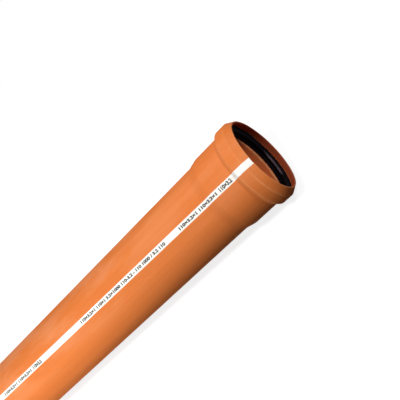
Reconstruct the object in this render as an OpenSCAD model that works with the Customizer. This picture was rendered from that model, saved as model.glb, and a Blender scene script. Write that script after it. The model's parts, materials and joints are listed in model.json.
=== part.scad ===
// Drain pipe with a push-fit socket, all sizes in millimetres.
//
// The pipe is one piece of plastic, turned about its own axis: a plain barrel
// that ends in a chamfered spigot, and at the other end a socket, drawn out of
// the same tube, that takes the next pipe's spigot. Behind the socket's rim a
// hollow bead holds a loose rubber seal ring.
//
// The pipe lies along X. The origin is the centre of the spigot's end face, +X
// runs towards the socket's rim, and +Z is up.

/* [Barrel] */
// Outside diameter, the size that the pipe is sold by
pipe_od = 110; // [75:1:200]
// Wall thickness of the barrel
wall = 3.2; // [2.2:0.1:6]
// Overall length, from the spigot's end to the socket's rim
pipe_length = 1000; // [300:10:3000]

/* [Spigot] */
// Length of the chamfer on the spigot's end
chamfer_length = 6; // [3:0.5:10]
// Angle between the chamfer and the pipe's axis
chamfer_angle = 15; // [10:1:18]

/* [Socket] */
// Gap all round between a spigot and the sleeve that takes it
spigot_clearance = 0.3; // [0.2:0.05:0.5]
// Wall thickness of the sleeve, drawn a little thinner than the barrel
sleeve_wall = 3; // [2:0.1:6]
// Straight length of the sleeve behind the seal's groove
sleeve_length = 46.5; // [25:0.5:90]
// Length of the taper from the barrel up to the sleeve
taper_length = 14.5; // [8:0.5:40]

/* [Bead and rim] */
// Depth of the rim before the groove reaches its full radius
lip_length = 10; // [6:0.1:16]
// Gap all round between a spigot and the rim's inner edge
rim_clearance = 0.4; // [0.3:0.05:1.5]
// Wall thickness of the rim at its end face
rim_wall = 2; // [1.5:0.1:5]
// Wall thickness of the bead
bead_wall = 2.6; // [2:0.1:6]
// Depth of the groove, from the sleeve's bore outwards
groove_depth = 5.5; // [3:0.1:9]
// Width of the groove's flat floor
groove_width = 12.5; // [8:0.1:24]
// Length of the groove's sloping back wall
groove_back_length = 2.5; // [1:0.1:6]
// How far the bead's outside shoulder lies behind the end of the groove's floor
shoulder_setback = 2.4; // [1:0.1:8]
// Length of the outside slope from the bead down to the sleeve
shoulder_length = 6.4; // [4:0.1:12]

/* [Rounding] */
// Radius of the bead's two outside shoulders
bead_rounding = 2.5; // [1:0.1:5]
// Radius where the bead's slope meets the sleeve
step_rounding = 2.5; // [1:0.1:5]
// Radius at each end of the taper
taper_rounding = 18; // [4:1:24]
// Radius at the corners of the groove
groove_rounding = 0.8; // [0.3:0.1:1]
// Radius that breaks the rim's edges
rim_rounding = 0.4; // [0.2:0.1:0.8]

/* [Seal ring] */
// Gap between each end of the seal ring and the end of the groove's floor
seal_end_gap = 0.3; // [0.2:0.1:0.6]
// Depth of the seal's step out of the sleeve's bore, so that a spigot passes
seal_setback = 0.1; // [0.05:0.05:0.3]
// Size of the chamfers on the seal ring's inner edges
seal_chamfer = 2.4; // [1:0.1:3]

/* [Hidden] */
$fn = 192;

// Straight pieces that a rounded corner is drawn with
CORNER_STEPS = 6;
// Below this angle a corner counts as straight
STRAIGHT = 0.01;

barrel_r = pipe_od / 2;
barrel_bore_r = barrel_r - wall;
chamfer_drop = chamfer_length * tan(chamfer_angle);

sleeve_bore_r = barrel_r + spigot_clearance;
sleeve_r = sleeve_bore_r + sleeve_wall;
groove_r = sleeve_bore_r + groove_depth;
bead_r = groove_r + bead_wall;
rim_bore_r = barrel_r + rim_clearance;
rim_r = rim_bore_r + rim_wall;

// Stations along the pipe, from the socket's rim back to the barrel
rim_x = pipe_length;
groove_front_x = rim_x - lip_length;
groove_back_x = groove_front_x - groove_width;
sleeve_front_x = groove_back_x - groove_back_length;
sleeve_back_x = sleeve_front_x - sleeve_length;
taper_back_x = sleeve_back_x - taper_length;
shoulder_front_x = groove_back_x - shoulder_setback;
shoulder_back_x = shoulder_front_x - shoulder_length;

seal_bore_r = sleeve_bore_r + seal_setback;
// The seal's chamfers always leave some of its two end faces standing
seal_edge = min(seal_chamfer, 0.6 * (groove_r - seal_bore_r - groove_rounding));
seal_front_x = groove_front_x - seal_end_gap;
seal_back_x = groove_back_x + seal_end_gap;

function unit(v) = v / norm(v);

// Points that replace the corner b between a and c by an arc of this radius
function rounded_corner(a, b, c, radius) =
    let (
        to_a = unit(a - b),
        to_c = unit(c - b),
        half_angle = acos(min(1, max(-1, to_a * to_c))) / 2,
        turn = 180 - 2 * half_angle,
        side = sign(to_a.x * to_c.y - to_a.y * to_c.x)
    )
    radius == 0 || turn < STRAIGHT
        ? [b]
        : let (
              centre = b + unit(to_a + to_c) * radius / sin(half_angle),
              first = b + to_a * radius / tan(half_angle) - centre,
              first_angle = atan2(first.y, first.x)
          )
          [for (i = [0 : CORNER_STEPS])
              let (angle = first_angle - side * turn * i / CORNER_STEPS)
                  centre + radius * [cos(angle), sin(angle)]];

// A closed outline, from corners given as [station, radius, rounding]
function rounded_outline(corners) =
    let (n = len(corners), place = function (i) [corners[i % n].x, corners[i % n].y])
        [for (i = [0 : n - 1])
            each rounded_corner(place(i + n - 1), place(i), place(i + 1), corners[i].z)];

// Turns an outline of [station, radius] points about the pipe's axis
module turned(outline) {
    rotate([0, 90, 0])
        rotate_extrude()
            polygon([for (p = outline) [p.y, p.x]]);
}

// The whole pipe: barrel, chamfered spigot, and the socket with its hollow bead
module pipe() {
    outside = [
        [0, barrel_r - chamfer_drop, 0],
        [chamfer_length, barrel_r, 0],
        [taper_back_x, barrel_r, taper_rounding],
        [sleeve_back_x, sleeve_r, taper_rounding],
        [shoulder_back_x, sleeve_r, step_rounding],
        [shoulder_front_x, bead_r, bead_rounding],
        [groove_front_x, bead_r, bead_rounding],
        [rim_x, rim_r, rim_rounding]
    ];
    inside = [
        [rim_x, rim_bore_r, rim_rounding],
        [groove_front_x, groove_r, groove_rounding],
        [groove_back_x, groove_r, groove_rounding],
        [sleeve_front_x, sleeve_bore_r, groove_rounding],
        [sleeve_back_x, sleeve_bore_r, taper_rounding],
        [taper_back_x, barrel_bore_r, taper_rounding],
        [0, barrel_bore_r, 0]
    ];
    color("chocolate")
        turned(rounded_outline(concat(outside, inside)));
}

// Rubber ring that lies in the bead's groove, with its edges clear of a spigot
module seal_ring() {
    color("black")
        turned([
            [seal_front_x, groove_r - groove_rounding],
            [seal_front_x, seal_bore_r + seal_edge],
            [seal_front_x - seal_edge, seal_bore_r],
            [seal_back_x + seal_edge, seal_bore_r],
            [seal_back_x, seal_bore_r + seal_edge],
            [seal_back_x, groove_r - groove_rounding],
            [seal_back_x + groove_rounding, groove_r],
            [seal_front_x - groove_rounding, groove_r]
        ]);
}

pipe();
seal_ring();
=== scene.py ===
"""Looks for a plastic drain pipe with a push-fit socket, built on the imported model.

Metres throughout. The pipe lies along X with its axis at Y = Z = 0 and its
socket's rim at the high end. A station is a place along X, and a depth is a
distance behind the rim. Angles round the pipe are elevations: 0 degrees faces -Y
and 90 degrees faces straight up.
"""
import functools
import json
import math

import bmesh
import bpy
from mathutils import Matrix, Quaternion, Vector


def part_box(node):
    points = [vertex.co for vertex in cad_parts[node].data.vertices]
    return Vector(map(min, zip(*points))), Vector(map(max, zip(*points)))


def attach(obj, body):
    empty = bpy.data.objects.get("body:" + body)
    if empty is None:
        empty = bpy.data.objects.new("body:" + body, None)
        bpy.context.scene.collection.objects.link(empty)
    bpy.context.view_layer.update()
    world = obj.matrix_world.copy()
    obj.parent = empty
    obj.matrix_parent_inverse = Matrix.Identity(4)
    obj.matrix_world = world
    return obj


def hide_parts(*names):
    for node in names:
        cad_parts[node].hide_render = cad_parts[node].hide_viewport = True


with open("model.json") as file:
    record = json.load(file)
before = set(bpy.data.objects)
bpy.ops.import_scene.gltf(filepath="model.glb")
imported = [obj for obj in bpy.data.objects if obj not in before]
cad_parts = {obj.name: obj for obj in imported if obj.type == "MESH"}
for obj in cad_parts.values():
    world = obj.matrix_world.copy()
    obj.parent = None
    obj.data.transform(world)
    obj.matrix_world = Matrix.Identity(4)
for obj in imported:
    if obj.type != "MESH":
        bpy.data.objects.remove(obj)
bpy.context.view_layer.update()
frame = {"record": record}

MM = 0.001

# ---------------------------------------------------------------- sizes

mount_sizes = {m["name"]: m["dims"] for m in frame["record"]["mounts"]}
pipe_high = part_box("pipe")[1]
seal_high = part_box("seal_ring")[1]

rim_x = pipe_high.x
bead_r = pipe_high.z
groove_r = seal_high.z
barrel_r = mount_sizes["spigot"]["r_mm"] * MM
barrel_bore_r = mount_sizes["pipe_bore"]["r_mm"] * MM
sleeve_bore_r = mount_sizes["socket"]["r_mm"] * MM

# The spigot's chamfer
chamfer_length = 6 * MM
chamfer_angle = math.radians(15)
chamfer_edge_rounding = 0.4 * MM

# The socket, given as walls and depths
sleeve_wall = 3.0 * MM
rim_clearance = 0.4 * MM
rim_wall = 2.0 * MM
groove_front = 10.0 * MM
groove_back = groove_front + 12.5 * MM
sleeve_front = groove_back + 2.5 * MM
shoulder_front = groove_back + 2.4 * MM
shoulder_back = shoulder_front + 6.4 * MM
sleeve_back = sleeve_front + 46.5 * MM
taper_back = sleeve_back + 14.5 * MM

bead_rounding = 2.5 * MM
step_rounding = 2.5 * MM
taper_rounding = 18 * MM
groove_rounding = 0.8 * MM
rim_rounding = 0.4 * MM

sleeve_r = sleeve_bore_r + sleeve_wall
rim_bore_r = barrel_r + rim_clearance
rim_r = rim_bore_r + rim_wall

# The tip of the seal's lip, as two depths
tip_front = 13.9 * MM
tip_back = 15.1 * MM

# The printed stripe, a film that is sunk a little into the plastic. Its middle line
# lies at its elevation at the rim, and turns by its twist over a metre.
stripe_width = 9.3 * MM
stripe_elevation = math.radians(50.1)
stripe_twist = math.radians(-12.7)
stripe_strips = 12
stripe_thickness = 0.05 * MM
stripe_sunk = 0.03 * MM

# The figures on the stripe
figure_lift = 0.065 * MM
figure_thickness = 0.04 * MM
figure_boldness = 0.055
figure_curve_steps = 3

# Each run of figures: its text, the depths where it starts and ends, and its height,
# in millimetres. The whole legend comes again after each pitch.
LEGEND = [
    ("110\u00d73.2\u00d71 110\u00d71 3.2\u00d71000 110-3.2 - 110 1000 / 3.2 110", 353, 165, 4.8),
    ("110\u00d73.2\u00d71 110\u00d73.2\u00d71", 135.6, 62.2, 4.8),
    ("110\u00d73.2", 56.7, 35.2, 6.0),
]
legend_pitch = 420 * MM
legend_repeats = 3

# Rays that find the pipe's outside start this far from its axis and are this long
RAY_START = 0.2
RAY_LENGTH = 0.3

# How finely the turned surfaces are drawn. A guard point just outside each end of an
# arc keeps the arc's smooth shading off the straight stretch beside it.
TURN_SEGMENTS = 288
CORNER_STEPS = 8
GUARD = 0.35 * MM
LONGEST_STRETCH = 40 * MM
# A corner whose half angle is over this counts as straight
STRAIGHT_HALF = math.radians(89.9)
# Points that are closer than this become one, on a turned surface and in the print
TURNED_MERGE = 0.001 * MM
PRINT_MERGE = 0.002 * MM

# ---------------------------------------------------------------- colours and lights

PLASTIC = (0.745, 0.207, 0.051, 1)
PLASTIC_DEEP = (0.63, 0.157, 0.035, 1)
# A redder colour painted on the inside: painted shade, with its red bounce light
PLASTIC_INSIDE_PAINTED_SHADE = (0.76, 0.145, 0.058, 1)
# A lighter colour painted on the slope behind the bead, to lift its shade
PLASTIC_SLOPE_PAINTED_LIGHT = (0.88, 0.270, 0.072, 1)
PLASTIC_DUSTY = (0.82, 0.36, 0.18, 1)
# Pale rub wear, and painted highlights on the bead's shoulders and the sleeve's front edge
PLASTIC_RUBBED_AND_HIGHLIGHT = (0.92, 0.43, 0.19, 1)
RUBBER = (0.004, 0.003, 0.005, 1)
RUBBER_DEEP = (0.002, 0.0015, 0.002, 1)
# Talc, and the painted sheen on the seal's lip
RUBBER_TALC_AND_SHEEN = (0.20, 0.16, 0.19, 1)
STRIPE_WHITE = (0.96, 0.94, 0.89, 1)
STRIPE_WORN = (0.70, 0.58, 0.48, 1)
FIGURE_DARK = (0.020, 0.026, 0.022, 1)
FIGURE_WORN = (0.16, 0.15, 0.13, 1)
WHITE = (1, 1, 1, 1)

PLASTIC_SPECULAR = 0.03
RUBBER_SPECULAR = 0.03
INK_SPECULAR = 0.25

WORLD_STRENGTH = 0.04

# The floor's own grey, and how far it reaches from the pipe's middle
FLOOR_GREY = 0.03
FLOOR_REACH = 12
# Near the pipe this share of what is seen takes the shadow, and the rest glows a
# little brighter than white, so that the two come to white where no shadow falls.
# Both fade out between two distances from the pipe's middle, counted in pipe
# lengths along the pipe and in FLOOR_OVAL pipe lengths across it.
FLOOR_SHADOW = 0.32
FLOOR_GLOW = 1.2
FLOOR_FADE = (0.6, 1.6)
FLOOR_OVAL = 0.6

# The camera, with its sensor and lens in millimetres and its angles in degrees
CAMERA_SENSOR = 36
CAMERA_LENS = 56.47
CAMERA_ELEVATION = 45
CAMERA_DISTANCE = 0.7806
CAMERA_PAST_RIM = 0.2305
CAMERA_ROLL = -65.589
AIM_BEHIND_RIM = 0.1097
AIM_ABOVE_AXIS = 0.0156

# Each lamp: its name, the depth of the place that it faces, its angle to the side,
# its elevation, its width and height, its distance, the spread of its beam, and how
# brightly it lights a white card. The angles are in degrees.
LAMPS = [
    ("top", 0.20, 0, 66, (0.3, 0.3), 2.0, 180, 0.72),
    ("mouth", 0.10, 40, 83, (0.6, 0.6), 2.0, 180, 0.43),
    ("back", 0.20, 0, 145, (1.0, 1.0), 2.0, 180, 0.24),
    ("low fill", 0.70, 0, 8, (0.8, 0.2), 0.8, 60, 0.14),
]


# ---------------------------------------------------------------- outlines

def rounded_corner(before, corner, after, radius):
    """Points of the arc that rounds one corner, with a guard point at each end."""
    if radius <= 0:
        return [corner]
    to_before = (before - corner).normalized()
    to_after = (after - corner).normalized()
    half = to_before.angle(to_after) / 2
    if half > STRAIGHT_HALF:
        return [corner]
    reach = radius / math.tan(half)
    centre = corner + (to_before + to_after).normalized() * radius / math.sin(half)
    first = corner + to_before * reach - centre
    last = corner + to_after * reach - centre
    sweep = first.angle_signed(last)
    arc = []
    for step in range(CORNER_STEPS + 1):
        turn = -sweep * step / CORNER_STEPS
        cos = math.cos(turn)
        sin = math.sin(turn)
        arc.append(centre + Vector((first.x * cos - first.y * sin, first.x * sin + first.y * cos)))
    guard = min(GUARD, radius)
    return [arc[0] + to_before * guard, *arc, arc[-1] + to_after * guard]


def rounded_outline(corners, closed):
    """The outline through corners given as (station, radius, rounding)."""
    places = [Vector(c[:2]) for c in corners]
    count = len(corners)
    points = []
    for i, (place, corner) in enumerate(zip(places, corners)):
        if not closed and i in (0, count - 1):
            points.append(place)
            continue
        points += rounded_corner(places[i - 1], place, places[(i + 1) % count], corner[2])
    return points


def with_stretches_cut(points, closed):
    """The same outline, with its long straight stretches cut into short ones."""
    ends = points[1:] + points[:1] if closed else points[1:]
    cut = []
    for start, end in zip(points, ends):
        pieces = max(1, math.ceil((end - start).length / LONGEST_STRETCH))
        cut += [start.lerp(end, k / pieces) for k in range(pieces)]
    return cut if closed else cut + points[-1:]


def at_depth(depth, radius, rounding):
    """A corner of the socket, from its depth."""
    return (rim_x - depth, radius, rounding)


outside_corners = [
    (0.0, barrel_r - chamfer_length * math.tan(chamfer_angle), chamfer_edge_rounding),
    (chamfer_length, barrel_r, chamfer_edge_rounding),
    at_depth(taper_back, barrel_r, taper_rounding),
    at_depth(sleeve_back, sleeve_r, taper_rounding),
    at_depth(shoulder_back, sleeve_r, step_rounding),
    at_depth(shoulder_front, bead_r, bead_rounding),
    at_depth(groove_front, bead_r, bead_rounding),
    at_depth(0, rim_r, rim_rounding),
]
inside_corners = [
    at_depth(0, rim_bore_r, rim_rounding),
    at_depth(groove_front, groove_r, groove_rounding),
    at_depth(groove_back, groove_r, groove_rounding),
    at_depth(sleeve_front, sleeve_bore_r, groove_rounding),
    at_depth(sleeve_back, sleeve_bore_r, taper_rounding),
    at_depth(taper_back, barrel_bore_r, taper_rounding),
    (0.0, barrel_bore_r, chamfer_edge_rounding),
]

# The seal: a soft lip that points inwards, and a low foot behind it
seal_corners = [
    at_depth(10.4 * MM, groove_r, 0.4 * MM),
    at_depth(10.1 * MM, 59.4 * MM, 0.6 * MM),
    at_depth(11.4 * MM, 56.8 * MM, 1.2 * MM),
    at_depth(tip_front, 53.6 * MM, 0.5 * MM),
    at_depth(tip_back, 53.9 * MM, 0.5 * MM),
    at_depth(16.6 * MM, 57.0 * MM, 1.0 * MM),
    at_depth(19.6 * MM, 57.6 * MM, 2.0 * MM),
    at_depth(22.0 * MM, 56.9 * MM, 0.8 * MM),
    at_depth(24.0 * MM, 57.1 * MM, 0.3 * MM),
    at_depth(22.3 * MM, groove_r, 0.4 * MM),
]


# ---------------------------------------------------------------- node tree helpers

class Tree:
    """A node tree that is written one node to a line."""

    def __init__(self, tree):
        self.tree = tree

    def add(self, kind, settings=None, **inputs):
        """Adds a node, sets its properties, and links or sets its named inputs.

        An input is named by its name, with _ for a space, or by _ and its number.
        """
        node = self.tree.nodes.new(kind)
        for name, value in (settings or {}).items():
            setattr(node, name, value)
        for name, value in inputs.items():
            key = int(name[1:]) if name[0] == "_" else name.replace("_", " ")
            self.feed(node.inputs[key], value)
        return node

    def feed(self, socket, value):
        """Links a node's output to a socket, or sets a plain value on it."""
        if isinstance(value, bpy.types.NodeSocket):
            self.tree.links.new(value, socket)
        elif isinstance(value, bpy.types.Node):
            self.tree.links.new(value.outputs[0], socket)
        else:
            socket.default_value = value

    def math(self, operation, *values, kind="ShaderNodeMath"):
        """A Math node on up to three values."""
        node = self.add(kind, {"operation": operation})
        for socket, value in zip(node.inputs, values):
            self.feed(socket, value)
        return node.outputs[0]

    def vector(self, operation, *vectors):
        """A Vector Math node on up to three vectors, which gives a vector."""
        return self.math(operation, *vectors, kind="ShaderNodeVectorMath")

    def measure(self, operation, *vectors):
        """A Vector Math node that gives a value: a length, a distance or a product."""
        return self.vector(operation, *vectors).node.outputs["Value"]

    def scaled(self, vector, scale):
        """A vector made longer or shorter."""
        return self.add("ShaderNodeVectorMath", {"operation": "SCALE"}, _0=vector, Scale=scale)

    def product(self, *values):
        """All the values multiplied together."""
        return functools.reduce(functools.partial(self.math, "MULTIPLY"), values)

    def largest(self, *values):
        """The largest of the values."""
        return functools.reduce(functools.partial(self.math, "MAXIMUM"), values)

    def mix(self, factor, first, second):
        """The colour that goes from first to second as the factor goes from 0 to 1."""
        node = self.add("ShaderNodeMix", {"data_type": "RGBA"}, _0=factor, _6=first, _7=second)
        return node.outputs[2]

    def ramp(self, value, low, high, to_low=0.0, to_high=1.0):
        """A value moved smoothly from the range low to high into another range."""
        settings = {"interpolation_type": "SMOOTHSTEP"}
        return self.add("ShaderNodeMapRange", settings, Value=value, From_Min=low, From_Max=high,
                        To_Min=to_low, To_Max=to_high).outputs["Result"]

    def climb(self, value, low, high, rise):
        """0 below low and rise above high, in a straight line between."""
        return self.add("ShaderNodeMapRange", Value=value, From_Min=low, From_Max=high,
                        To_Max=rise).outputs["Result"]

    def between(self, value, low, high, soft):
        """1 where the value lies between low and high, fading out over the soft distance."""
        rise = self.ramp(value, low - soft, low)
        fall = self.ramp(value, high, high + soft, 1.0, 0.0)
        return self.product(rise, fall)

    def place(self):
        """Object coordinates."""
        return self.add("ShaderNodeTexCoord").outputs["Object"]

    def split(self, vector):
        """The X, Y and Z of a vector."""
        return self.add("ShaderNodeSeparateXYZ", Vector=vector).outputs

    def noise(self, vector, scale=1.0, detail=2.0, roughness=0.5):
        """Noise from 0 to 1 in a space that may be stretched."""
        return self.add("ShaderNodeTexNoise", Vector=vector, Scale=scale, Detail=detail,
                        Roughness=roughness).outputs["Fac"]

    def bump(self, height, distance):
        """A normal for a height from 0 to 1 that stands for this distance."""
        return self.add("ShaderNodeBump", Height=height, Distance=distance)

    def group(self, tree, **inputs):
        """Places a shader node group."""
        return self.add("ShaderNodeGroup", {"node_tree": tree}, **inputs)

    def named_socket(self, name, kind, direction, value=None):
        """Adds a named input or output to a group."""
        socket = self.tree.interface.new_socket(name, in_out=direction, socket_type=kind)
        if value is not None:
            socket.default_value = value


# ---------------------------------------------------------------- turned surfaces

def make_turning_tree():
    """Geometry Nodes that turn an outline of points in the XZ plane about the X axis."""
    t = Tree(bpy.data.node_groups.new("Turn about the pipe's axis", "GeometryNodeTree"))
    t.named_socket("Outline", "NodeSocketGeometry", "INPUT")
    t.named_socket("Segments", "NodeSocketInt", "INPUT", 64)
    t.named_socket("Material", "NodeSocketMaterial", "INPUT")
    t.named_socket("Surface", "NodeSocketGeometry", "OUTPUT")
    given = t.add("NodeGroupInput").outputs
    outline = given["Outline"]
    segments = given["Segments"]

    points = t.add("GeometryNodeAttributeDomainSize", {"component": "MESH"}, Geometry=outline)
    across = t.math("ADD", segments, 1)
    grid = t.add("GeometryNodeMeshGrid", Vertices_X=points.outputs["Point Count"], Vertices_Y=across)

    index = t.add("GeometryNodeInputIndex")
    row = t.math("FLOOR", t.math("DIVIDE", index, across))
    step = t.math("SUBTRACT", index, t.product(row, across))
    place = t.add("GeometryNodeSampleIndex", {"data_type": "FLOAT_VECTOR", "domain": "POINT"},
                  Geometry=outline, Value=t.add("GeometryNodeInputPosition"), Index=row)
    point = t.split(place)
    angle = t.product(t.math("DIVIDE", step, segments), math.tau)
    forward = t.product(t.math("COSINE", angle), t.product(point["Z"], -1.0))
    upward = t.product(t.math("SINE", angle), point["Z"])
    turned = t.add("ShaderNodeCombineXYZ", X=point["X"], Y=forward, Z=upward)

    surface = t.add("GeometryNodeSetPosition", Geometry=grid, Position=turned)
    closed = t.add("GeometryNodeMergeByDistance", Geometry=surface, Distance=TURNED_MERGE)
    smooth = t.add("GeometryNodeSetShadeSmooth", Geometry=closed, Shade_Smooth=True)
    real = t.add("GeometryNodeRealizeInstances", Geometry=smooth)
    painted = t.add("GeometryNodeSetMaterial", Geometry=real, Material=given["Material"])
    t.add("NodeGroupOutput", Surface=painted)
    return t.tree


def mesh_object(name, mesh):
    """Puts a mesh into the scene as an object."""
    piece = bpy.data.objects.new(name, mesh)
    bpy.context.scene.collection.objects.link(piece)
    return piece


def closed_outline_object(name, points):
    """A closed outline in the XZ plane, whose last point repeats its first."""
    ring = points + points[:1]
    mesh = bpy.data.meshes.new(name)
    edges = [(i, i + 1) for i in range(len(points))]
    mesh.from_pydata([(p.x, 0.0, p.y) for p in ring], edges, [])
    return mesh_object(name, mesh)


def run_nodes(piece, tree, **inputs):
    """Runs a Geometry Nodes tree on a piece and keeps the result as its plain mesh."""
    modifier = piece.modifiers.new("Shape", "NODES")
    modifier.node_group = tree
    for socket in tree.interface.items_tree:
        if socket.in_out == "INPUT" and socket.name in inputs:
            modifier[socket.identifier] = inputs[socket.name]
    return keep_result(piece)


def mesh_of(piece):
    """The plain mesh that a piece's modifiers or curve make."""
    bpy.context.view_layer.update()
    graph = bpy.context.evaluated_depsgraph_get()
    return bpy.data.meshes.new_from_object(piece.evaluated_get(graph), preserve_all_data_layers=True,
                                           depsgraph=graph)


def keep_result(piece):
    """Replaces a piece's mesh by what its modifiers make of it."""
    mesh = mesh_of(piece)
    piece.modifiers.clear()
    piece.data = mesh
    return piece


def face_outwards(piece):
    """Makes a closed shell's faces point outwards."""
    shell = bmesh.new()
    shell.from_mesh(piece.data)
    bmesh.ops.recalc_face_normals(shell, faces=shell.faces)
    shell.to_mesh(piece.data)
    shell.free()
    return piece


def turned_ring(name, corners, material):
    """A closed solid of revolution about the pipe's axis."""
    points = with_stretches_cut(rounded_outline(corners, closed=True), closed=True)
    piece = closed_outline_object(name, points)
    run_nodes(piece, turning_tree, Segments=TURN_SEGMENTS, Material=material)
    return face_outwards(piece)


# ---------------------------------------------------------------- shared effects

def value_group(name, inputs, output):
    """Starts a shader node group of plain values, as (tree, its inputs)."""
    t = Tree(bpy.data.node_groups.new(name, "ShaderNodeTree"))
    for socket_name, value in inputs.items():
        t.named_socket(socket_name, "NodeSocketFloat", "INPUT", value)
    t.named_socket(output, "NodeSocketFloat", "OUTPUT")
    return t, t.add("NodeGroupInput").outputs


def stretched_place(t, along, across):
    """Object coordinates divided by a length along the pipe and one across it."""
    return t.vector("DIVIDE", t.place(), t.add("ShaderNodeCombineXYZ", X=along, Y=across, Z=across))


def make_streaks_group():
    """Streaks that a die or a tool leaves: long one way and fine the other."""
    t, given = value_group("Drawn streaks", {"Along": 0.3, "Across": 0.002, "Contrast": 1.0}, "Streaks")
    place = stretched_place(t, given["Along"], given["Across"])
    raw = t.noise(place, detail=3.0, roughness=0.6)
    # The more contrast, the narrower the range of noise from bare to full
    middle = 0.5
    half = t.math("DIVIDE", 0.22, given["Contrast"])
    low = t.math("SUBTRACT", middle, half)
    high = t.math("ADD", middle, half)
    t.add("NodeGroupOutput", Streaks=t.ramp(raw, low, high))
    return t.tree


def make_patches_group():
    """Soft patches, where a finish has dulled, faded or picked up dust."""
    t, given = value_group("Soft patches", {"Along": 0.12, "Across": 0.05, "Cover": 0.5}, "Patches")
    place = stretched_place(t, given["Along"], given["Across"])
    raw = t.noise(place, detail=5.0, roughness=0.55)
    # The less cover, the more noise it takes to start a patch and to fill it
    bare = t.math("SUBTRACT", 1.0, given["Cover"])
    low = t.math("MULTIPLY_ADD", bare, 0.5, 0.10)
    high = t.math("MULTIPLY_ADD", bare, 0.5, 0.40)
    t.add("NodeGroupOutput", Patches=t.ramp(raw, low, high))
    return t.tree


def make_scratches_group():
    """Thin scratches from handling, turned to one direction and gathered in places."""
    inputs = {"Length": 0.03, "Width": 0.0003, "Turn": 0.4}
    t, given = value_group("Handling scratches", inputs, "Scratches")
    place = t.place()
    about_z = {"rotation_type": "Z_AXIS"}
    turned = t.add("ShaderNodeVectorRotate", about_z, Vector=place, Angle=given["Turn"])
    stretch = t.add("ShaderNodeCombineXYZ", X=given["Length"], Y=given["Width"], Z=20 * MM)
    # Only the peaks of the noise are scratches
    lines = t.ramp(t.noise(t.vector("DIVIDE", turned, stretch), detail=1.0), 0.70, 0.78)
    where = t.ramp(t.noise(place, scale=22.0, detail=3.0), 0.50, 0.66)
    t.add("NodeGroupOutput", Scratches=t.product(lines, where))
    return t.tree


def make_grain_group():
    """The fine pebbled skin of a moulded or drawn surface."""
    t, given = value_group("Fine grain", {"Size": 0.0008}, "Grain")
    place = stretched_place(t, given["Size"], given["Size"])
    t.add("NodeGroupOutput", Grain=t.noise(place, detail=2.0, roughness=0.6))
    return t.tree


# ---------------------------------------------------------------- materials

def new_material(name, specular):
    """A material with a Principled BSDF, as (material, tree, shader)."""
    material = bpy.data.materials.new(name)
    material.use_nodes = True
    shader = material.node_tree.nodes["Principled BSDF"]
    shader.inputs["Specular IOR Level"].default_value = specular
    return material, Tree(material.node_tree), shader


def painted_over(t, colour, layers):
    """A colour with layers over it, each given as (where it shows, how much, colour)."""
    for where, amount, layer_colour in layers:
        colour = t.mix(t.product(where, amount), colour, layer_colour)
    return colour


def added_up(t, base, parts):
    """A value with parts added to it, each given as (value, how much of it)."""
    total = base
    for value, amount in parts:
        total = t.math("MULTIPLY_ADD", value, amount, total)
    return total


def middle_of_wall(t, depth):
    """The radius half way through the pipe's wall, along the pipe."""
    barrel = (barrel_bore_r + barrel_r) / 2
    sleeve = (sleeve_bore_r + sleeve_r) / 2
    bead = (groove_r + bead_r) / 2
    rim = (rim_bore_r + rim_r) / 2
    step_front = (groove_back + shoulder_front) / 2
    step_back = (sleeve_front + shoulder_back) / 2
    to_bead = t.climb(depth, 0.0, groove_front, bead - rim)
    to_sleeve = t.climb(depth, step_front, step_back, sleeve - bead)
    to_barrel = t.climb(depth, sleeve_back, taper_back, barrel - sleeve)
    return added_up(t, rim, [(to_bead, 1.0), (to_sleeve, 1.0), (to_barrel, 1.0)])


def rubbed_and_highlit_edges(t, place, x, z, depth, radius):
    """Edges worn pale by handling, with painted highlights, a little mottled.

    Rub wear lies on the rim and the spigot's end. Painted highlights lie on each shoulder of the bead,
    more low down, and on the sleeve's front edge.
    """
    rim = t.product(t.between(depth, 0.0, 0.7 * MM, 0.4 * MM), 0.4)

    front_shoulder = t.between(depth, groove_front - 0.6 * MM, groove_front + 0.8 * MM, 1.5 * MM)
    back_shoulder = t.between(depth, shoulder_front - 0.8 * MM, shoulder_front + 0.6 * MM, 1.5 * MM)
    on_bead = t.ramp(radius, bead_r - 0.8 * MM, bead_r - 0.3 * MM)
    # Painted highlights on the bead's shoulders, stronger low down
    more_highlight_low_down = t.ramp(z, 20 * MM, 55 * MM, 0.60, 0.15)
    shoulder_highlights = t.product(t.largest(front_shoulder, back_shoulder), on_bead, more_highlight_low_down)

    # A painted highlight along the sleeve's front edge
    sleeve_edge_highlight = t.between(depth, sleeve_front - 0.5 * MM, sleeve_front + 1.6 * MM, 0.4 * MM)
    on_bore = t.ramp(radius, sleeve_bore_r + 0.9 * MM, sleeve_bore_r + 1.6 * MM, 1.6, 0.0)
    sleeve = t.product(sleeve_edge_highlight, on_bore)

    spigot = t.between(x, 0.0, 0.5 * MM, 0.4 * MM)
    mottled = t.ramp(t.noise(place, scale=260.0, detail=3.0), 0.30, 0.62, 0.35, 1.0)
    return t.product(t.largest(rim, shoulder_highlights, sleeve, spigot), mottled)


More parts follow.
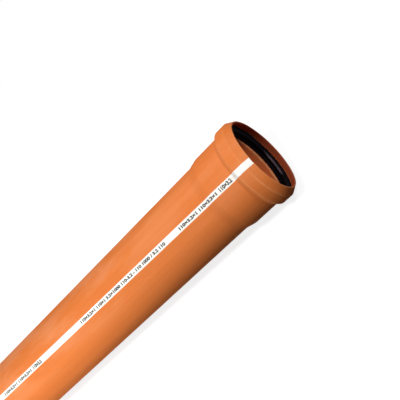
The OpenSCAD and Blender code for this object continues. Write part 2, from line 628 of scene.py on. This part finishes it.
def make_plastic():
    """Terracotta pipe plastic: drawn along the barrel, formed round the socket."""
    material, t, shader = new_material("Terracotta pipe plastic", PLASTIC_SPECULAR)
    place = t.place()
    split = t.split(place)
    x = split["X"]
    z = split["Z"]
    depth = t.math("SUBTRACT", rim_x, x)
    radius = t.measure("LENGTH", t.add("ShaderNodeCombineXYZ", Y=split["Y"], Z=z))

    die_lines = t.group(streaks, Along=0.45, Across=0.0016, Contrast=1.2)
    wide_streaks = t.group(streaks, Along=0.9, Across=0.011, Contrast=1.0)
    forming_rings = t.group(streaks, Along=0.0007, Across=0.30, Contrast=1.1)
    cutter_rings = t.group(streaks, Along=0.0004, Across=0.05, Contrast=1.6)
    dull = t.group(patches, Along=0.16, Across=0.045, Cover=0.5)
    dust = t.group(patches, Along=0.10, Across=0.03, Cover=0.45)
    long_scratches = t.group(scratches, Length=0.05, Width=0.0003, Turn=0.25)
    short_scratches = t.group(scratches, Length=0.02, Width=0.00025, Turn=-0.9)
    grain_height = t.group(grain, Size=0.0009)

    above_middle = t.math("SUBTRACT", radius, middle_of_wall(t, depth))
    outside = t.ramp(above_middle, -0.4 * MM, 0.4 * MM)
    painted_shade_inside = t.math("SUBTRACT", 1.0, outside)
    on_socket = t.ramp(depth, sleeve_back, taper_back, 1.0, 0.0)
    on_chamfer = t.ramp(x, chamfer_length, chamfer_length + 0.3 * MM, 1.0, 0.0)
    on_top = t.ramp(z, 10 * MM, 50 * MM)
    # The slope behind the bead, where a lighter colour is painted to lift the slope's shade
    on_slope = t.between(depth, shoulder_front + 0.8 * MM, shoulder_back - 2.4 * MM, 1.5 * MM)
    # How much redder painted shade the inside gets, most on the lip
    more_shade_on_lip = t.ramp(depth, groove_front - 1.0 * MM, groove_front, 0.90, 0.45)
    more_far_back = t.ramp(depth, 150 * MM, 300 * MM, 0.20, 0.38)
    scratched = t.largest(long_scratches, short_scratches)
    rubbed_and_highlit = rubbed_and_highlit_edges(t, place, x, z, depth, radius)

    t.feed(shader.inputs["Base Color"], painted_over(t, PLASTIC, [
        (wide_streaks, 0.40, PLASTIC_DEEP),
        (die_lines, 0.22, PLASTIC_DEEP),
        (t.product(forming_rings, on_socket), 0.20, PLASTIC_DEEP),
        # Painted light on the slope behind the bead
        (t.product(on_slope, outside), 0.70, PLASTIC_SLOPE_PAINTED_LIGHT),
        # Painted shade inside: a redder colour, most on the lip
        (painted_shade_inside, more_shade_on_lip, PLASTIC_INSIDE_PAINTED_SHADE),
        (t.product(dust, on_top), more_far_back, PLASTIC_DUSTY),
        (t.product(scratched, outside), 0.35, PLASTIC_RUBBED_AND_HIGHLIGHT),
        (on_chamfer, 0.25, PLASTIC_RUBBED_AND_HIGHLIGHT),
        # Rub wear, with painted highlights on the shoulders and the sleeve's edge
        (rubbed_and_highlit, 0.55, PLASTIC_RUBBED_AND_HIGHLIGHT),
    ]))
    t.feed(shader.inputs["Roughness"], added_up(t, 0.64, [
        (dull, 0.16),
        (rubbed_and_highlit, 0.12),
        (scratched, 0.15),
    ]))
    height = added_up(t, 0.0, [
        (t.product(die_lines, t.math("MULTIPLY_ADD", on_socket, -0.6, 1.0)), 1.0),
        (t.product(forming_rings, on_socket), 0.8),
        (t.product(cutter_rings, on_chamfer), 1.0),
        (grain_height, 0.7),
        (scratched, -1.5),
    ])
    t.feed(shader.inputs["Normal"], t.bump(height, 0.012 * MM))
    return material


def make_rubber():
    """Black seal rubber: matt, with faint moulding rings and talc.

    A trace of talc has settled all over. A painted sheen lies on the lip's tip: a lighter streak that
    stands in for a highlight.
    """
    material, t, shader = new_material("Black seal rubber", RUBBER_SPECULAR)
    place = t.place()
    depth = t.math("SUBTRACT", rim_x, t.split(place)["X"])
    mould_rings = t.group(streaks, Along=0.0006, Across=0.20, Contrast=1.0)
    talc = t.group(patches, Along=0.012, Across=0.02, Cover=0.4)
    grain_height = t.group(grain, Size=0.0005)

    # The painted sheen lies low down at the back, and thins out to both sides
    sheen_elevation = math.radians(245)
    sheen_middle = (0.0, -math.cos(sheen_elevation), math.sin(sheen_elevation))
    towards_middle = t.measure("DOT_PRODUCT", place, sheen_middle)
    on_tip = t.between(depth, tip_front - 0.7 * MM, tip_back + 0.1 * MM, 0.9 * MM)
    painted_sheen = t.product(on_tip, t.ramp(towards_middle, 49 * MM, 53 * MM, 0.0, 0.80))
    uneven = t.math("MULTIPLY_ADD", talc, 0.5, 0.5)
    talc_and_sheen = t.math("MULTIPLY_ADD", talc, 0.02, t.product(painted_sheen, uneven))

    t.feed(shader.inputs["Base Color"], painted_over(t, RUBBER, [
        (mould_rings, 0.5, RUBBER_DEEP),
        # A trace of talc, and a painted sheen on the lip's tip
        (talc_and_sheen, 1.0, RUBBER_TALC_AND_SHEEN),
    ]))
    t.feed(shader.inputs["Roughness"], t.math("MULTIPLY_ADD", talc, 0.15, 0.50))
    height = t.math("MULTIPLY_ADD", grain_height, 0.8, mould_rings)
    t.feed(shader.inputs["Normal"], t.bump(height, 0.015 * MM))
    return material


def ink(name, colour, worn_colour, wear):
    """A printed ink that keeps the plastic's die lines and is worn in places."""
    material, t, shader = new_material(name, INK_SPECULAR)
    die_lines = t.group(streaks, Along=0.45, Across=0.0012, Contrast=1.2)
    worn = t.group(patches, Along=0.02, Across=0.004, Cover=0.35)
    scratched = t.group(scratches, Length=0.02, Width=0.0003, Turn=0.5)
    worn_in_lines = t.product(worn, t.math("MULTIPLY_ADD", die_lines, 0.6, 0.4))
    marks = t.largest(worn_in_lines, scratched)
    t.feed(shader.inputs["Base Color"], painted_over(t, colour, [(marks, wear, worn_colour)]))
    t.feed(shader.inputs["Roughness"], t.math("MULTIPLY_ADD", worn, 0.15, 0.45))
    height = t.math("MULTIPLY_ADD", t.group(grain, Size=0.0007), 0.8, die_lines)
    t.feed(shader.inputs["Normal"], t.bump(height, 0.010 * MM))
    return material


# ---------------------------------------------------------------- print

def mesh_of_text(data):
    """Turns text into a plain mesh, and removes the text."""
    written = bpy.data.objects.new("written", data)
    bpy.context.scene.collection.objects.link(written)
    mesh = mesh_of(written)
    bpy.data.objects.remove(written)
    bpy.data.curves.remove(data)
    return mesh


def flat_figures(text, start, end, height):
    """Figures lying flat: X along the pipe from the rim, Y across the stripe, Z outwards."""
    data = bpy.data.curves.new("figures", "FONT")
    data.body = text
    # Half a unit each way, which the figures' thickness then scales
    data.extrude = 0.5
    data.offset = figure_boldness
    data.resolution_u = figure_curve_steps
    mesh = mesh_of_text(data)
    low = [min(v.co[axis] for v in mesh.vertices) for axis in range(2)]
    high = [max(v.co[axis] for v in mesh.vertices) for axis in range(2)]
    scale_x = (start - end) / (high[0] - low[0])
    scale_y = height / (high[1] - low[1])
    for v in mesh.vertices:
        v.co.x = (v.co.x - low[0]) * scale_x - start
        v.co.y = (v.co.y - (low[1] + high[1]) / 2) * scale_y
        v.co.z *= figure_thickness
    return mesh


def make_wrapping_tree():
    """Geometry Nodes that lay flat print on the pipe's outside, wherever that lies.

    The print's X runs along the pipe from the rim, Y round it and Z outwards. Its
    middle line turns about the pipe by the twist, in radians a metre.
    """
    t = Tree(bpy.data.node_groups.new("Lay print on the pipe", "GeometryNodeTree"))
    t.named_socket("Print", "NodeSocketGeometry", "INPUT")
    t.named_socket("Pipe", "NodeSocketObject", "INPUT")
    t.named_socket("Rim", "NodeSocketFloat", "INPUT", 1.0)
    t.named_socket("Elevation", "NodeSocketFloat", "INPUT", 0.9)
    t.named_socket("Twist", "NodeSocketFloat", "INPUT", 0.0)
    t.named_socket("Lift", "NodeSocketFloat", "INPUT", 0.0001)
    t.named_socket("Divisions", "NodeSocketInt", "INPUT", 0)
    t.named_socket("Material", "NodeSocketMaterial", "INPUT")
    t.named_socket("Figures", "NodeSocketGeometry", "OUTPUT")
    given = t.add("NodeGroupInput").outputs

    closed = t.add("GeometryNodeMergeByDistance", Geometry=given["Print"], Distance=PRINT_MERGE)
    fine = t.add("GeometryNodeSubdivideMesh", Mesh=closed, Level=given["Divisions"])
    flat = t.split(t.add("GeometryNodeInputPosition"))
    on_axis = t.add("ShaderNodeCombineXYZ", X=t.math("ADD", flat["X"], given["Rim"]))
    middle = t.math("MULTIPLY_ADD", flat["X"], given["Twist"], given["Elevation"])
    target = t.add("GeometryNodeObjectInfo", {"transform_space": "RELATIVE"}, Object=given["Pipe"])

    def outward_at(angle):
        """The direction straight out from the axis at this elevation."""
        forward = t.product(t.math("COSINE", angle), -1.0)
        return t.add("ShaderNodeCombineXYZ", Y=forward, Z=t.math("SINE", angle))

    def touch(outward):
        """Where a ray that comes straight in from outside meets the pipe."""
        start = t.vector("ADD", t.scaled(outward, RAY_START), on_axis)
        return t.add("GeometryNodeRaycast", Target_Geometry=target.outputs["Geometry"],
                     Source_Position=start, Ray_Direction=t.scaled(outward, -1.0),
                     Ray_Length=RAY_LENGTH)

    radius = t.math("SUBTRACT", RAY_START, touch(outward_at(middle)).outputs["Hit Distance"])
    outward = outward_at(t.math("ADD", t.math("DIVIDE", flat["Y"], radius), middle))
    lifted = t.scaled(outward, t.math("ADD", flat["Z"], given["Lift"]))
    place = t.vector("ADD", touch(outward).outputs["Hit Position"], lifted)
    laid = t.add("GeometryNodeSetPosition", Geometry=fine, Position=place)
    real = t.add("GeometryNodeRealizeInstances", Geometry=laid)
    painted = t.add("GeometryNodeSetMaterial", Geometry=real, Material=given["Material"])
    t.add("NodeGroupOutput", Figures=painted)
    return t.tree


def lay_on_pipe(name, mesh, lift, divisions, material):
    """Lays a flat print on the pipe, lifted off it and with its faces divided."""
    piece = mesh_object(name, mesh)
    return run_nodes(piece, wrapping_tree, Pipe=pipe, Rim=rim_x, Elevation=stripe_elevation,
                     Twist=stripe_twist, Lift=lift, Divisions=divisions, Material=material)


def make_stripe():
    """The white stripe: a thin film on the pipe's outside, from the chamfer to the rim."""
    points = with_stretches_cut(rounded_outline(outside_corners, closed=False), closed=False)
    first = chamfer_length + chamfer_edge_rounding
    last = rim_x - rim_rounding
    stations = [first, *[p.x for p in points if first < p.x < last], last]
    # The mesh has a row of points across the stripe at each station
    row = stripe_strips + 1
    across = [stripe_width * (k / stripe_strips - 0.5) for k in range(row)]
    corners = [(x - rim_x, y, 0.0) for x in stations for y in across]
    starts = [i * row + k for i in range(len(stations) - 1) for k in range(stripe_strips)]
    mesh = bpy.data.meshes.new("printed_stripe")
    mesh.from_pydata(corners, [], [(i, i + row, i + row + 1, i + 1) for i in starts])
    piece = lay_on_pipe("printed_stripe", mesh, 0.0, 0, white_ink)
    film = piece.modifiers.new("Film", "SOLIDIFY")
    film.thickness = stripe_thickness + stripe_sunk
    film.offset = (stripe_thickness - stripe_sunk) / film.thickness
    keep_result(piece)
    return face_outwards(piece)


def make_figures():
    """The legend's figures, repeated along the stripe, as one piece."""
    flat = bmesh.new()
    for repeat in range(legend_repeats):
        shift = repeat * legend_pitch
        for text, start, end, height in LEGEND:
            # A run that would pass the spigot's end is left out
            if start * MM + shift < rim_x - chamfer_length:
                flat.from_mesh(flat_figures(text, start * MM + shift, end * MM + shift, height * MM))
    mesh = bpy.data.meshes.new("printed_figures")
    flat.to_mesh(mesh)
    flat.free()
    piece = lay_on_pipe("printed_figures", mesh, figure_lift, 1, dark_ink)
    return face_outwards(piece)


# ---------------------------------------------------------------- build

turning_tree = make_turning_tree()
wrapping_tree = make_wrapping_tree()
streaks = make_streaks_group()
patches = make_patches_group()
scratches = make_scratches_group()
grain = make_grain_group()

plastic = make_plastic()
rubber = make_rubber()
white_ink = ink("White stripe ink", STRIPE_WHITE, STRIPE_WORN, 0.5)
dark_ink = ink("Dark figure ink", FIGURE_DARK, FIGURE_WORN, 0.4)

pipe = turned_ring("pipe_wall", outside_corners + inside_corners, plastic)
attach(pipe, "root")
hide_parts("pipe")

seal = turned_ring("lipped_seal", seal_corners, rubber)
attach(seal, "root")
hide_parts("seal_ring")

stripe = make_stripe()
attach(stripe, "root")

figures = make_figures()
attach(figures, "root")


# ---------------------------------------------------------------- stage

def looks_straight(t):
    """1 where a ray comes from the camera, or by way of gloss or glass."""
    path = t.add("ShaderNodeLightPath").outputs
    return t.largest(path["Is Camera Ray"], path["Is Glossy Ray"], path["Is Transmission Ray"])


def make_world():
    """Faint even light from all round. Whatever looks straight at it sees white."""
    world = bpy.data.worlds.new("studio")
    world.use_nodes = True
    t = Tree(world.node_tree)
    lit = world.node_tree.nodes["Background"]
    t.feed(lit.inputs["Color"], WHITE)
    t.feed(lit.inputs["Strength"], WORLD_STRENGTH)
    seen = t.add("ShaderNodeBackground", Color=WHITE, Strength=1.0)
    both = t.add("ShaderNodeMixShader", _0=looks_straight(t), _1=lit, _2=seen)
    t.feed(world.node_tree.nodes["World Output"].inputs["Surface"], both)
    bpy.context.scene.world = world


def floor_material():
    """White to whatever looks straight at it, with the pipe's shadow on it."""
    material = bpy.data.materials.new("Pale floor")
    material.use_nodes = True
    nodes = material.node_tree.nodes
    nodes.remove(nodes["Principled BSDF"])
    t = Tree(material.node_tree)
    oval = t.vector("DIVIDE", t.place(), (rim_x, FLOOR_OVAL * rim_x, 1.0))
    off_centre = t.measure("DISTANCE", oval, (0.5, 0.0, 0.0))
    share = t.ramp(off_centre, *FLOOR_FADE, FLOOR_SHADOW, 0.0)
    strength = t.ramp(off_centre, *FLOOR_FADE, FLOOR_GLOW, 1.0)
    glow = t.add("ShaderNodeEmission", Color=WHITE, Strength=strength)
    shaded = t.add("ShaderNodeBsdfDiffuse", Color=WHITE)
    seen = t.add("ShaderNodeMixShader", _0=share, _1=glow, _2=shaded)
    plain = t.add("ShaderNodeBsdfDiffuse", Color=(FLOOR_GREY, FLOOR_GREY, FLOOR_GREY, 1))
    both = t.add("ShaderNodeMixShader", _0=looks_straight(t), _1=plain, _2=seen)
    t.feed(nodes["Material Output"].inputs["Surface"], both)
    return material


def make_floor():
    """A floor that touches the bead and the spigot, so it tilts a little to the pipe."""
    touch_x = rim_x - shoulder_front
    tilt = (bead_r - barrel_r) / (touch_x - chamfer_length)
    stations = (rim_x / 2 - FLOOR_REACH, rim_x / 2 + FLOOR_REACH)
    ends = [(x, -bead_r - (x - touch_x) * tilt) for x in stations]
    corners = [(x, side * FLOOR_REACH, z) for side in (-1, 1) for x, z in ends]
    mesh = bpy.data.meshes.new("floor")
    mesh.from_pydata(corners, [], [(0, 1, 3, 2)])
    mesh.materials.append(floor_material())
    floor = mesh_object("floor", mesh)


def softbox(name, depth, side, elevation, size, distance, spread, level):
    """A lamp that faces a place on the pipe's axis.

    side is its angle from straight in front of the pipe towards the socket's end,
    and level is how bright it makes a white card that faces it.
    """
    data = bpy.data.lights.new(name, "AREA")
    data.shape = "RECTANGLE"
    data.size, data.size_y = size
    data.spread = math.radians(spread)
    data.energy = level * math.pi ** 2 * distance ** 2
    lamp = bpy.data.objects.new(name, data)
    bpy.context.scene.collection.objects.link(lamp)
    lamp.visible_camera = False
    a = math.radians(side)
    e = math.radians(elevation)
    out = Vector((math.sin(a), -math.cos(a) * math.cos(e), math.cos(a) * math.sin(e)))
    lamp.location = Vector((rim_x - depth, 0, 0)) + out * distance
    lamp.rotation_mode = "QUATERNION"
    lamp.rotation_quaternion = (-out).to_track_quat("-Z", "Y")


def make_camera():
    """A camera in front of the socket, a little past its rim, looking down on it."""
    data = bpy.data.cameras.new("camera")
    data.sensor_width = CAMERA_SENSOR
    data.lens = CAMERA_LENS
    camera = bpy.data.objects.new("camera", data)
    bpy.context.scene.collection.objects.link(camera)
    e = math.radians(CAMERA_ELEVATION)
    towards = Vector((0, -math.cos(e), math.sin(e)))
    upwards = Vector((0, math.sin(e), math.cos(e)))
    mouth = Vector((rim_x, 0, 0))
    camera.location = mouth + towards * CAMERA_DISTANCE + Vector((CAMERA_PAST_RIM, 0, 0))
    aim = mouth - Vector((AIM_BEHIND_RIM, 0, 0)) + upwards * AIM_ABOVE_AXIS
    camera.rotation_mode = "QUATERNION"
    level = (aim - camera.location).to_track_quat("-Z", "Y")
    camera.rotation_quaternion = level @ Quaternion((0, 0, 1), math.radians(CAMERA_ROLL))
    bpy.context.scene.camera = camera


make_world()
make_floor()
make_camera()
for lamp in LAMPS:
    softbox(*lamp)

bpy.context.scene.view_settings.view_transform = "Standard"
